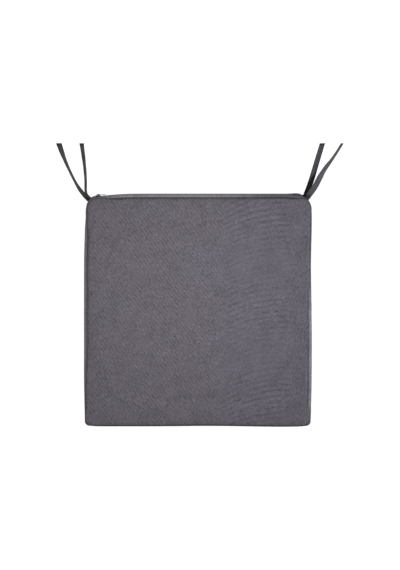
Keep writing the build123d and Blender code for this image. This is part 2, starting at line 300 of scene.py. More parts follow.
def plainMaterial(name, colour, roughness, grain, grainDepth, extra=None, bump=0.2, distance=0.1 * mm):
    material, tree = newMaterial(name)
    place = addNode(tree, "ShaderNodeTexCoord").outputs["Object"]
    speck = addNode(tree, "ShaderNodeTexNoise", {"Scale": 1 / grain, "Detail": 3.0, "Vector": place})
    swing = addNode(tree, "ShaderNodeMath", {"operation": "MULTIPLY_ADD", 0: speck, 1: 2 * grainDepth,
                                             2: 1 - grainDepth})
    tone = addNode(tree, "ShaderNodeVectorMath",
                   {"operation": "SCALE", 0: linearColor(colour)[:3], "Scale": swing})
    relief = addNode(tree, "ShaderNodeBump", {"Strength": bump, "Distance": distance, "Height": speck})
    finishMaterial(tree, {"Roughness": roughness, **(extra or {}), "Base Color": tone,
                          "Normal": relief})
    return material


# black lacquer over a zinc casting: deep black with a soft gloss
blackLacquer = plainMaterial("blackLacqueredZinc", "17161A", 0.32, 1.2 * mm, 0.15,
                             {"Coat Weight": 0.4, "Coat Roughness": 0.2})
# nylon monofilament: dark, slightly glossy
nylonCoil = plainMaterial("nylonMonofilament", "2E2C31", 0.38, 1.5 * mm, 0.12)
# polyester sewing thread, a little darker than the cloth
sewingThread = plainMaterial("spunPolyesterThread", "4C494F", 0.6, 0.4 * mm, 0.25)
# loosely twisted cotton: off-white and fluffy
cottonCord = plainMaterial("twistedCottonCord", "D9D3C4", 0.95, 0.8 * mm, 0.2, None, 0.5, 0.3 * mm)
# open-cell polyurethane foam: cream, matt, fine cells
cutFoam = plainMaterial("polyurethaneFoam", "D8CBA2", 0.95, 1.6 * mm, 0.18, None, 0.6, 0.4 * mm)

zipCloth = {
    "colour": "3D3B41",
    "ribs": ("Y", 0.7 * mm, 0.7),  # direction, spacing and share of the relief
    "picks": ("X", 0.9 * mm, 0.3),
    "tone": (0.85, 0.3),  # darkest tone, and how much lighter a rib's top is: painted shade between the ribs
    "relief": 0.15 * mm,
}


def tapeMaterial():
    # woven polyester zip tape: fine ribs along its length, dark grey
    material, tree = newMaterial("wovenPolyesterZipTape")
    uv = addNode(tree, "ShaderNodeUVMap", {"uv_map": "cloth"})
    height = 0.0
    for axis, spacing, depth in (zipCloth["ribs"], zipCloth["picks"]):
        wave = addNode(tree, "ShaderNodeTexWave",
                       {"bands_direction": axis, "Scale": bandScale(spacing), "Vector": uv})
        height = addNode(tree, "ShaderNodeMath", {"operation": "MULTIPLY_ADD", 0: wave.outputs["Fac"], 1: depth,
                                                  2: height})
    # painted shade in the troughs between the ribs, lighter on their tops
    darkest, change = zipCloth["tone"]
    swing = addNode(tree, "ShaderNodeMath", {"operation": "MULTIPLY_ADD", 0: height, 1: change, 2: darkest})
    tone = addNode(tree, "ShaderNodeVectorMath",
                   {"operation": "SCALE", 0: linearColor(zipCloth["colour"])[:3], "Scale": swing})
    relief = addNode(tree, "ShaderNodeBump", {"Strength": 0.4, "Distance": zipCloth["relief"], "Height": height})
    finishMaterial(tree, {"Roughness": 0.8, "Sheen Weight": 0.1, "Base Color": tone,
                          "Normal": relief})
    return material


zipTape = tapeMaterial()
print("materials made")


# The pad's outline and how it is pulled
def outlineAt(inset, place):
    # place runs 0 to 4 round the pad from the front left corner's middle, one whole number a side
    side = int(math.floor(place)) % 4
    share = place - math.floor(place)
    share -= pad["crowding"] * math.sin(2 * math.pi * share) / (2 * math.pi)
    radii = [max(r - inset, pad["smallestRadius"]) for r in pad["cornerRadii"]]
    first, last = radii[side], radii[(side + 1) % 4]
    angle = (side - 1) * math.pi / 2
    forward = Vector((-math.sin(angle), math.cos(angle)))
    outward = Vector((math.cos(angle), math.sin(angle)))
    halfAlong = (halfWidth, halfDepth)[side % 2] - inset
    halfOut = (halfDepth, halfWidth)[side % 2] - inset
    straight = 2 * halfAlong - first - last
    run = share * (straight + (first + last) * math.pi / 4)
    if run < first * math.pi / 4:
        turn = run / first - math.pi / 4
        centre = forward * (first - halfAlong) + outward * (halfOut - first)
        normal = outward * math.cos(turn) + forward * math.sin(turn)
        return centre + normal * first, normal
    run -= first * math.pi / 4
    if run > straight:
        turn = (run - straight) / last
        centre = forward * (halfAlong - last) + outward * (halfOut - last)
        normal = outward * math.cos(turn) + forward * math.sin(turn)
        return centre + normal * last, normal
    return forward * (first - halfAlong + run) + outward * halfOut, outward


def swell(distance, reach):
    return math.exp(-(distance / reach) ** 2)


def ease(value, start, end):
    share = min(max((value - start) / (end - start), 0), 1)
    return share * share * (3 - 2 * share)


def zipHold(x, y, z):
    # 1 where the zip keeps the cover straight, 0 away from it
    level = 1 - ease(abs(z - zipMiddle), *hold["levels"])
    inX = ease(x, *[d - halfWidth for d in hold["sides"]])
    return level * inX * ease(y, *[halfDepth - d for d in hold["rear"]])


def pulled(point):
    x, y, z = point

    def pull(name, distance):
        # a pull fades to both sides of its middle, given last
        size, reach, *middle = pulls[name]
        return size * swell(distance - sum(middle), reach)

    left = (pull("leftRear", halfDepth - y) + pull("leftFront", halfDepth + y)
            - pull("leftSwell", y) - pull("leftNub", y))
    right = (pull("rightRear", halfDepth - y) + pull("rightFront", halfDepth + y)
             + pull("rightWaist", y) - pull("rightSwell", y))
    rear = pulls["rearAll"] + pull("rearLeft", halfWidth + x)
    rear += pull("rearRightTop", x) * ease(z, *pulls["rearTopLevels"])
    rear -= pull("rearRightFoot", x) * (1 - ease(z, *pulls["rearFootLevels"]))
    front = (pull("frontLeft", halfWidth + x) + pull("frontLeft", halfWidth - x)
             - pull("frontSwell", x) + pull("frontWaist", x))
    free = 1 - zipHold(x, y, z)
    fade = pulls["inwardFade"]
    dx = free * left * math.exp(-max(halfWidth + x, 0) / fade) - right * math.exp(-max(halfWidth - x, 0) / fade)
    dy = front * math.exp(-max(halfDepth + y, 0) / fade) - free * rear * math.exp(-max(halfDepth - y, 0) / fade)
    return Vector((x + dx, y + dy, z))


def rollAt(x, y):
    # how far the panel's edge has rolled out over its piping, 0 to 1: most at the front, the left side towards the
    # front, the right side towards the rear and the rear left corner
    right = ease(x, *rolls["rightX"]) * sum(size * ease(y, start, end) for size, start, end in rolls["right"])
    size, start, end = rolls["front"]
    front = size * (1 - ease(y, start, end))
    size, start, end = rolls["left"]
    left = size * (1 - ease(x, *rolls["leftX"])) * (1 - ease(y, start, end))
    size, start, end = rolls["corner"]
    corner = size * (1 - ease(x, *rolls["cornerX"])) * ease(y, start, end)
    return max(right, front, left, corner)


def places(count, start=0.0, end=4.0):
    return [start + (end - start) * i / count for i in range(count + (end - start < 4.0))]


def lifted(place, inset, z, out=0.0):
    # a point of the pad's side or rim, out being added along the outline's normal
    flat, normal = outlineAt(max(inset, 0), place)
    shaped = pulled((flat.x, flat.y, z))
    return shaped + Vector((normal.x, normal.y, 0)) * (out - min(inset, 0))


def placeOfX(x, inset, low, high):
    # where the rear side reaches an X, by halving
    for _ in range(40):
        middle = (low + high) / 2
        if outlineAt(inset, middle)[0].x > x:
            low = middle
        else:
            high = middle
    return (low + high) / 2


# Meshes
def gridMesh(name, rows, wrapRows=False, wrapColumns=False, uvTurn=0.0, capRows=False):
    # rows of points joined into quads, with a cloth UV map in metres
    rowCount, columnCount = len(rows), len(rows[0])
    vertices = [p for row in rows for p in row]
    faces, uvs = [], []
    along = [0.0]
    for r in range(1, rowCount + 1):
        along.append(along[-1] + (Vector(rows[r % rowCount][0]) - Vector(rows[r - 1][0])).length)
    across = [0.0]
    for c in range(1, columnCount + 1):
        across.append(across[-1] + (Vector(rows[0][c % columnCount]) - Vector(rows[0][c - 1])).length)
    turn = Matrix.Rotation(uvTurn, 2)
    for r in range(rowCount if wrapRows else rowCount - 1):
        for c in range(columnCount if wrapColumns else columnCount - 1):
            cells = ((r, c), (r, c + 1), (r + 1, c + 1), (r + 1, c))
            faces.append([(i % rowCount) * columnCount + j % columnCount for i, j in cells])
            uvs.extend(turn @ Vector((along[i], across[j])) for i, j in cells)
    if capRows and not wrapRows:
        for r in (0, rowCount - 1):
            ring = [r * columnCount + c for c in range(columnCount)]
            faces.append(ring if r else ring[::-1])
            uvs.extend(Vector((vertices[i][0], vertices[i][2])) for i in faces[-1])
    mesh = bpy.data.meshes.new(name)
    mesh.from_pydata([tuple(v) for v in vertices], [], faces)
    layer = mesh.uv_layers.new(name="cloth")
    for loop, uv in zip(layer.data, uvs):
        loop.uv = uv
    return mesh


def makeObject(name, mesh, material, recalc=False):
    obj = bpy.data.objects.new(name, mesh)
    bpy.context.scene.collection.objects.link(obj)
    mesh.materials.clear()
    mesh.materials.append(material)
    if recalc:
        shell = bmesh.new()
        shell.from_mesh(mesh)
        bmesh.ops.recalc_face_normals(shell, faces=shell.faces)
        shell.to_mesh(mesh)
        shell.free()
    for polygon in mesh.polygons:
        polygon.use_smooth = True
    return obj


# stores a piece's painted shade, and painted light where negative, for the cloth materials
def paintShadingInto(mesh, amounts):
    layer = mesh.attributes.new("paintedShading", "FLOAT", "POINT")
    layer.data.foreach_set("value", amounts)


def applyModifiers(obj):
    depsgraph = bpy.context.evaluated_depsgraph_get()
    mesh = bpy.data.meshes.new_from_object(obj.evaluated_get(depsgraph), depsgraph=depsgraph)
    obj.modifiers.clear()
    old = obj.data
    obj.data = mesh
    bpy.data.meshes.remove(old)


def settle(obj, body, slotName, *nodes):
    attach(obj, body)
    if nodes:
        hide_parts(*nodes)


def ripple(place, seed, length=9 * mm):
    # soft gathers along a seam, from noise on the distance round the pad
    spot = place * 0.41 / length
    return noise.noise(Vector((spot, seed * 7.3, 0.0))) + 0.5 * noise.noise(Vector((2.3 * spot, seed * 3.1, 4.0)))


def sheetMesh(name, rings, side, rise):
    # a quad sheet: rings from the edge inwards, then a grid that fills the last one
    count = 4 * side
    vertices = [p.copy() for ring in rings for p in ring]
    faces = []
    for r in range(len(rings) - 1):
        for k in range(count):
            nextK = (k + 1) % count
            faces.append([r * count + k, r * count + nextK, (r + 1) * count + nextK, (r + 1) * count + k])
    base = (len(rings) - 1) * count
    edge = rings[-1]
    grid = {}
    for i in range(side + 1):
        grid[i, 0] = base + i
        grid[side, i] = base + side + i
        grid[i, side] = base + 3 * side - i
        grid[0, i] = base + (4 * side - i) % count
    corners = [edge[0], edge[side], edge[2 * side], edge[3 * side]]
    for i in range(1, side):
        for j in range(1, side):
            u = i / side
            v = j / side
            point = edge[i] * (1 - v) + edge[3 * side - i] * v
            point += edge[4 * side - j] * (1 - u) + edge[side + j] * u
            point -= corners[0] * (1 - u) * (1 - v) + corners[1] * u * (1 - v)
            point -= corners[2] * u * v + corners[3] * (1 - u) * v
            point.z += rise * (1 - (2 * u - 1) ** 4) * (1 - (2 * v - 1) ** 4)
            grid[i, j] = len(vertices)
            vertices.append(point)
    for i in range(side):
        for j in range(side):
            faces.append([grid[i, j], grid[i + 1, j], grid[i + 1, j + 1], grid[i, j + 1]])
    mesh = bpy.data.meshes.new(name)
    mesh.from_pydata([tuple(v) for v in vertices], [], faces)
    layer = mesh.uv_layers.new(name="cloth")
    for polygon in mesh.polygons:
        for loopIndex in polygon.loop_indices:
            point = vertices[mesh.loops[loopIndex].vertex_index]
            layer.data[loopIndex].uv = (point.x, point.y)
    return mesh


# Camera
camera = {
    "target": (3.8 * mm, 44.9 * mm, 32.5 * mm),
    "tilt": 4.2,  # degrees from straight down, towards the rear
    "distance": 8.0,
    "frameHeight": 1.002,  # metres seen from top to bottom at the target
    "sensor": 36,
    "clipEnd": 120,
}
cameraData = bpy.data.cameras.new("camera")
cameraObject = bpy.data.objects.new("camera", cameraData)
bpy.context.scene.collection.objects.link(cameraObject)
cameraData.sensor_fit = "VERTICAL"
cameraData.sensor_height = camera["sensor"]
cameraData.lens = camera["sensor"] * camera["distance"] / camera["frameHeight"]
cameraData.clip_end = camera["clipEnd"]
tilt = math.radians(camera["tilt"])
cameraObject.rotation_euler = (-tilt, 0, 0)
away = Vector((0, math.sin(tilt), math.cos(tilt)))
cameraObject.location = Vector(camera["target"]) + camera["distance"] * away
bpy.context.scene.camera = cameraObject
print("camera set")


# Ties
tieSettings = {
    "width": 10 * mm,
    "thickness": 1.2 * mm,
    "hem": 5 * mm,
    "hemmed": 1.35,  # the folded end's thickness over the tape's
    # the tape is darker towards its folded end: how much, and over what distance from the end
    "hemDarkening": 0.25,
    "hemDarkeningFrom": (4.5 * mm, 3.5 * mm),  # from the end
    "cup": 0.9 * mm,  # how far the tape's middle stands off its edges
    "wave": 0.25 * mm,
    "waveLength": 11 * mm,
    "levelEnd": 14 * mm,
    "edgeSteps": 8,
    "foldShade": 0.58,  # painted shade on the side that is turned under, away from the light
    "foldSoftness": 0.2,
}
# Each tie's points in millimetres, then its turn in degrees from flat, its painted shade (painted light where
# negative) and the place of the line that parts its turned side from its lit one, all at shares of its length
ties = {
    "leftInnerTie": {
        "node": "left_inner_tie",
        "length": 96.6 * mm,
        "points": [(-188.2, 194.6, 6.6), (-195.6, 200.6, 6.4), (-197.4, 210.0, 5.6), (-197.0, 224.0, 5.4),
                   (-197.8, 241.0, 5.4), (-199.4, 257.5, 5.3), (-201.6, 275.0, 5.0), (-204.2, 293.0, 4.4)],
        "turns": [(0.0, 58), (0.15, 68), (0.35, 66), (0.6, 60), (0.85, 50), (1.0, 42)],
        "paintedShading": [(0.0, 0.50), (0.3, 0.54), (0.7, 0.52), (1.0, 0.44)],
    },
    "leftOuterTie": {
        "node": "left_outer_tie",
        "length": 111.8 * mm,
        "points": [(-188.0, 191.4, 8.4), (-195.6, 197.8, 8.4), (-203.6, 206.4, 7.8), (-212.0, 218.6, 6.6),
                   (-220.0, 233.5, 5.6), (-228.5, 251.5, 5.4), (-237.4, 272.5, 4.4), (-244.6, 293.0, 2.6)],
        "turns": [(0.0, 30), (0.2, 52), (0.42, 67), (0.58, 66), (0.72, 56), (0.88, 36), (1.0, 20)],
        "paintedShading": [(0.0, 0.44), (0.4, 0.34), (1.0, 0.38)],
    },
    "rightInnerTie": {
        "node": "right_inner_tie",
        "length": 103.5 * mm,
        "points": [(187.8, 195.4, 6.2), (193.0, 207.9, 5.9), (197.7, 221.0, 4.6), (202.7, 236.5, 4.2),
                   (207.6, 253.5, 4.2), (213.4, 272.5, 4.2), (219.5, 293.0, 4.2)],
        "turns": [(0.0, 25), (0.2, 14), (0.4, 10), (0.6, 16), (0.8, 20), (1.0, 24)],
        "paintedShading": [(0.0, 0.46), (0.30, 0.40), (0.50, 0.24), (1.0, 0.16)],
        "fold": [(0.0, 1.3), (0.24, 1.1), (0.36, 0.35), (0.52, -0.45), (0.62, -0.75), (0.75, -1.4), (1.0, -1.4)],
    },
    "rightOuterTie": {
        "node": "right_outer_tie",
        "length": 119.1 * mm,
        "points": [(188.0, 192.2, 8.2), (197.0, 203.4, 8.2), (206.8, 216.6, 7.0), (214.0, 231.5, 4.8),
                   (222.8, 248.0, 5.2), (239.6, 269.5, 5.6), (253.9, 293.0, 5.6)],
        "turns": [(0.0, -30), (0.15, 0), (0.36, 0), (0.52, -42), (0.8, -66), (1.0, -70)],
        "paintedShading": [(0.0, 0.12), (0.2, -0.04), (0.45, -0.12), (0.7, -0.10), (1.0, 0.22)],
    },
}


def routePoints(name, points):
    # the route's smooth line, read from its spline
    curve = bpy.data.curves.new(name, "CURVE")
    curve.dimensions = "3D"
    curve.resolution_u = 10
    spline = curve.splines.new("NURBS")
    spline.points.add(len(points) - 1)
    for spot, point in zip(spline.points, points):
        spot.co = (*[c * mm for c in point], 1.0)
    spline.order_u = 3
    spline.use_endpoint_u = True
    obj = bpy.data.objects.new(name, curve)
    mesh = bpy.data.meshes.new_from_object(obj)
    line = [v.co.copy() for v in mesh.vertices]
    bpy.data.objects.remove(obj)
    bpy.data.meshes.remove(mesh)
    bpy.data.curves.remove(curve)
    return line


def between(pairs, share):
    for (a, first), (b, second) in zip(pairs, pairs[1:]):
        if share <= b:
            return first + (second - first) * ease(share, a, b)
    return pairs[-1][1]


def tieFrames(line, turns):
    # centre, across and up at every point of the line
    runs = [0.0]
    for a, b in zip(line, line[1:]):
        runs.append(runs[-1] + (b - a).length)
    frames = []
    for i, point in enumerate(line):
        tangent = (line[min(i + 1, len(line) - 1)] - line[max(i - 1, 0)]).normalized()
        flat = Vector((0, 0, 1)).cross(tangent).normalized()
        above = tangent.cross(flat)
        turn = math.radians(between(turns, runs[i] / runs[-1]))
        across = flat * math.cos(turn) + above * math.sin(turn)
        frames.append((point, across, tangent.cross(across), runs[i]))
    return frames


def buildTie(name, entry):
    line = routePoints(name + "Route", entry["points"])
    frames = tieFrames(line, entry["turns"])
    half, thick = tieSettings["width"] / 2, tieSettings["thickness"] / 2
    steps, soft = tieSettings["edgeSteps"], tieSettings["foldSoftness"]
    hemFrom, hemTo = tieSettings["hemDarkeningFrom"]
    total = frames[-1][3]
    rows, paintedShading = [], []
    for centre, across, up, run in frames:
        tangent = up.cross(across)
        hemmed = tieSettings["hemmed"] if total - run < tieSettings["hem"] else 1.0
        wave = tieSettings["wave"] * noise.noise(Vector((run / tieSettings["waveLength"], half * 100, total * 10)))
        ring, shares = [], []
        for side in (1, -1):
            for k in range(steps + 1):
                share = (2 * k / steps - 1) * side
                shares.append(share)
                edge = math.sqrt(max(1 - abs(share) ** 6, 0))
                cup = tieSettings["cup"] * (0.5 - share * share)
                stand = cup + wave * share + side * hemmed * thick * (0.25 + 0.75 * edge)
                ring.append(centre + across * (half * share) + up * stand)
        # the end is cut level with the other ties, not square to the tape
        level = ease(run, total - tieSettings["levelEnd"], total)
        for point in ring:
            point += tangent * (level * (centre.y - point.y) / tangent.y)
        rows.append(ring)
        # painted shade along the tape and on its turned side, painted light where the amount is negative
        shadingHere = between(entry["paintedShading"], run / total)
        shadingHere += tieSettings["hemDarkening"] * ease(run, total - hemFrom, total - hemTo)
        fold = between(entry.get("fold", [(0.0, -1.5), (1.0, -1.5)]), run / total)
        paintedShading += [shadingHere + tieSettings["foldShade"] * (1 - ease(share, fold - soft, fold + soft)) for share in shares]
    mesh = gridMesh(name, rows, wrapColumns=True, capRows=True)
    paintShadingInto(mesh, paintedShading)
    obj = makeObject(name, mesh, tieFabric, recalc=True)
    settle(obj, "cover", "tie_fabric", entry["node"])
    print(name, "made, mm:", round(total / mm, 1))


for name, entry in ties.items():
    buildTie(name, entry)
print("ties made")


# Top panel
panel = {
    "side": 78,  # quads along a side
    "seamRise": 0.3 * mm,
    "profile": [(0.0, 0.0), (0.5, 0.02), (1.0, 0.10), (1.6, 0.26), (2.6, 0.42), (4.4, 0.56), (7.2, 0.68),
                (12.0, 0.78), (19.0, 0.86), (28.0, 0.92)],  # mm inwards, share of the crown's height
    "overhang": [0.0, 1.4, 3.0, 4.2, 4.6, 3.9, 2.6, 1.4, 0.5, 0.1],  # mm outwards where the edge has rolled over
    "gather": 0.22 * mm,
    "gatherReach": 7,  # mm inwards
    # painted shade along the top seam on each side, and how far inwards in mm it reaches
    "shadingRear": 0.48,
    "shadingLeft": 0.36,
    "shadingFront": 0.46,
    "shadingRight": 0.10,
    "shadingReach": 2.6,  # mm inwards
    "paintedHighlightRight": (0.24, 3.2, 2.4),  # painted highlight along the right side, where the light falls: how much, where and how wide in mm
    "rollOut": 2.0 * mm,
    "rollDown": 1.0 * mm,
    "rollReach": 6,  # mm inwards
    "innerRise": 0.5,  # the middle's share of what is left of the crown
    "pressure": 0.10,
    "mass": 0.3,
    "quality": 5,
    "shrink": -0.004,  # the cloth is a little larger than its drawn shape
    "frames": 20,
    "cap": 2.0 * mm,  # the most that the cloth may move a point
    "unevenness": 0.25 * mm,
    "unevenScale": 22,  # per metre
}


def panelRing(index, count):
    step, share = panel["profile"][index]
    seamTop = highSeam + pad["layerStep"] + panel["seamRise"]
    inset = pad["faceInset"] + step * mm
    lift, liftPlace, liftWidth = panel["paintedHighlightRight"]
    ring, paintedShading = [], []
    for place in places(count):
        flat, normal = outlineAt(pad["faceInset"], place)
        roll = rollAt(flat.x, flat.y)
        out = roll * (panel["rollOut"] + panel["overhang"][index] * mm)
        down = roll * panel["rollDown"] * max(1 - step / panel["rollReach"], 0)
        gather = panel["gather"] * ripple(place, 1) * math.exp(-step / panel["gatherReach"]) * min(step / 1.2, 1)
        point = lifted(place, inset, seamTop + (crownTop - seamTop) * share - down, out + gather)
        point.z += gather
        ring.append(point)
        # painted shade along the seam, most at the rear, front and left, and a painted highlight along the right
        # side
        shadingHere = panel["shadingRear"] * max(normal.y, 0) ** 2 + panel["shadingFront"] * max(-normal.y, 0) ** 2
        shadingHere += panel["shadingLeft"] * max(-normal.x, 0) ** 2 + panel["shadingRight"] * max(normal.x, 0) ** 2
        paintedShading.append(shadingHere * swell(step, panel["shadingReach"])
                      - lift * max(normal.x, 0) * swell(step - liftPlace, liftWidth))
    return ring, paintedShading


def swellCloth(obj, start):
    # a light cloth simulation plumps the panel, then no point is let further than the cap
    cloth = obj.modifiers.new("cloth", "CLOTH")
    cloth.settings.quality = panel["quality"]
    cloth.settings.mass = panel["mass"]
    cloth.settings.use_pressure = True
    cloth.settings.uniform_pressure_force = panel["pressure"]
    cloth.settings.vertex_group_mass = "seam"
    cloth.settings.effector_weights.gravity = 0
    cloth.settings.shrink_min = panel["shrink"]
    cloth.point_cache.frame_start = 1
    cloth.point_cache.frame_end = panel["frames"]
    for step in range(1, panel["frames"] + 1):
        bpy.context.scene.frame_set(step)
    applyModifiers(obj)
    bpy.context.scene.frame_set(1)
    moved = [v.co - p for v, p in zip(obj.data.vertices, start)]
    print("cloth moved", round(max(m.length for m in moved) / mm, 2), "mm")
    for vertex, first, move in zip(obj.data.vertices, start, moved):
        if move.length > 0:
            vertex.co = first + move * (panel["cap"] * math.tanh(move.length / panel["cap"]) / move.length)


def buildTopPanel():
    count = 4 * panel["side"]
    drawn = [panelRing(i, count) for i in range(len(panel["profile"]))]
    rings = [ring for ring, amounts in drawn]
    rise = (crownTop - rings[-1][0].z) * panel["innerRise"]
    mesh = sheetMesh("topPanel", rings, panel["side"], rise)
    paintedShading = [amount for ring, amounts in drawn for amount in amounts]
    paintShadingInto(mesh, paintedShading + [0.0] * (len(mesh.vertices) - len(paintedShading)))
    obj = makeObject("topPanel", mesh, coverFabric)
    obj.vertex_groups.new(name="seam").add(list(range(2 * count)), 1.0, "REPLACE")
    swellCloth(obj, [v.co.copy() for v in mesh.vertices])
    subdivision = obj.modifiers.new("subdivision", "SUBSURF")
    subdivision.levels = subdivision.render_levels = 1
    solid = obj.modifiers.new("wall", "SOLIDIFY")
    solid.thickness = pad["wall"]
    solid.offset = -1
    applyModifiers(obj)
    scale = panel["unevenScale"]
    for vertex in obj.data.vertices:
        spot = vertex.co
        vertex.co.z += panel["unevenness"] * noise.noise(Vector((spot.x * scale, spot.y * scale, 3.0)))
    for polygon in obj.data.polygons:
        polygon.use_smooth = True
    settle(obj, "cover", "cover_fabric", "top_panel")


buildTopPanel()
print("top panel made")


# Bottom panel
bottomPanel = {
    "side": 50,
    "seamDrop": 0.4 * mm,
    "sag": 0.25 * mm,
    # mm inwards, mm off the surface
    "profile": [(3.0, 0.75), (5.5, 0.30), (9.0, 0.12), (16.0, 0.08), (26.0, 0.06)],
    "gather": 0.06 * mm,
    "gatherReach": 5,  # mm inwards
    "wall": 0.8 * mm,
}


def buildBottomPanel():
    seamBottom = lowSeam - pad["layerStep"] - bottomPanel["seamDrop"]
    profile = [(0.0, seamBottom), (1.2, seamBottom - bottomPanel["sag"])]
    profile += [(step, level * mm) for step, level in bottomPanel["profile"]]
    rings = []
    for step, z in profile:
        gather = bottomPanel["gather"] * math.exp(-step / bottomPanel["gatherReach"])
        rings.append([lifted(place, pad["faceInset"] + step * mm, z + gather * (1 + ripple(place, 2)))
                      for place in places(4 * bottomPanel["side"])])
    mesh = sheetMesh("bottomPanel", rings, bottomPanel["side"], 0.0)
    mesh.flip_normals()
    obj = makeObject("bottomPanel", mesh, boxingFabric)
    solid = obj.modifiers.new("wall", "SOLIDIFY")
    solid.thickness = bottomPanel["wall"]
    solid.offset = -1
    applyModifiers(obj)
    settle(obj, "cover", "cover_fabric", "bottom_panel")


buildBottomPanel()


# Boxing
boxing = {
    "bulge": 2.6 * mm,
    "levels": 14,
    "columns": 420,
    "gather": 0.30 * mm,
    "zipEase": 0.10,  # part of a side over which it goes flat towards the zip
}


def buildBoxing():
    low = lowSeam + pad["layerStep"]
    high = highSeam - pad["layerStep"]
    startPlace = placeOfX(bandLow.x, pad["faceInset"], 2.0, 3.0)
    endPlace = placeOfX(bandHigh.x, pad["faceInset"], 2.0, 3.0) + 4
    levels, zipEase = boxing["levels"], boxing["zipEase"]
    rows = []
    for place in places(boxing["columns"], startPlace, endPlace):
        flat, normal = outlineAt(pad["faceInset"], place)
        roll = rollAt(flat.x, flat.y)
        rollOut, rollDown = roll * panel["rollOut"], roll * panel["rollDown"]
        free = 1 - max(ease(place, startPlace + zipEase, startPlace), ease(place, endPlace - zipEase, endPlace))
        outer, inner = [], []
        for k in range(levels + 1):
            share = k / levels
            z = low + (high - low) * share
            down = rollDown * share ** 3
            out = boxing["bulge"] * ((1 - (2 * share - 1) ** 2) ** 0.8) * free
            seam = math.exp(-share * 8) + math.exp(-(1 - share) * 8)
            gather = boxing["gather"] * ripple(place, 3 + (share > 0.5)) * seam * free
            outer.append(lifted(place, pad["faceInset"], z - down, out + gather + rollOut * share ** 3))
            if k % 2 == 0:
                z = min(max(z, low + pad["lip"]), high - pad["lip"])
                inner.append(lifted(place, pad["faceInset"] + pad["wall"], z - down, out + rollOut * share ** 3))
        top = [lifted(place, pad["lipInset"], z - rollDown, rollOut) for z in (high, high - pad["lip"])]
        bottom = [lifted(place, pad["lipInset"], z) for z in (low + pad["lip"], low)]
        rows.append(outer + top + inner[::-1] + bottom)
    mesh = gridMesh("boxingStrip", rows, wrapColumns=True, capRows=True)
    obj = makeObject("boxingStrip", mesh, boxingFabric, recalc=True)
    settle(obj, "cover", "cover_fabric", "boxing_strip")


buildBoxing()
print("boxing and bottom panel made")


# Piping
piping = {
    "points": 16,
    "count": 640,
    "openAngle": 162,  # the sleeve's round part ends this far from its outermost line
    "flange": 0.8 * mm,
    "flangeReach": (0.3 * mm, 6.9 * mm),
    "gather": 0.10 * mm,
    "gatherLength": 5 * mm,
    "rollAngle": 62,
    "filler": 1.6 * mm,
    "fillerPoints": 8,
    "lowest": 0.02 * mm,
    "biasTurn": 45,
    # painted shade where it is rolled under (less on the left), painted shade on the left side, painted light on
    # the right side, painted shade in its seam
    "shadingRolled": 0.66,
    "shadingRolledLeft": -0.24,
    "shadingLeft": 0.20,
    "shadingRight": -0.50,
    "shadingSeam": 0.35,
    # painted light on the top one's rear side, painted shade on its right part over an X range and on its left
    # corner over another
    "topRear": -0.22,
    "topRearRight": (0.56, 40 * mm, 140 * mm),
    "topRearLeft": (0.2, -186 * mm, -150 * mm),
    # painted shade all along the bottom one, painted light on its rear side, painted shade on its rear right part
    # over an X range
    "bottomAll": 0.22,
    "bottomRear": -0.62,
    "bottomRearRight": (0.20, 60 * mm, 140 * mm),
}


def pipingCentre(place, seam, top):
    flat, normal = outlineAt(pad["faceInset"], place)
    roll = rollAt(flat.x, flat.y) if top else 0.0
    angle = math.radians(piping["rollAngle"]) * roll
    seamPoint = lifted(place, pad["faceInset"], seam - roll * panel["rollDown"], roll * panel["rollOut"])
    outward = Vector((normal.x, normal.y, 0))
    reach = pad["faceInset"] - pipeRadius
    centre = seamPoint + outward * (reach * math.cos(angle)) - Vector((0, 0, reach * math.sin(angle)))
    return centre, outward, seamPoint, angle


def pipingShading(x, y, normal, top):
    left, right, rear = max(-normal.x, 0) ** 2, max(normal.x, 0) ** 2, max(normal.y, 0)
    amount = piping["shadingLeft"] * left + piping["shadingRight"] * right
    if not top:
        size, start, end = piping["bottomRearRight"]
        return amount + piping["bottomAll"] + rear * (piping["bottomRear"] + size * ease(x, start, end))
    amount += (piping["shadingRolled"] + piping["shadingRolledLeft"] * left) * rollAt(x, y)
    size, start, end = piping["topRearRight"]
    amount += rear * (piping["topRear"] + size * ease(x, start, end))
    size, start, end = piping["topRearLeft"]
    return amount + rear * size * (1 - ease(x, start, end))


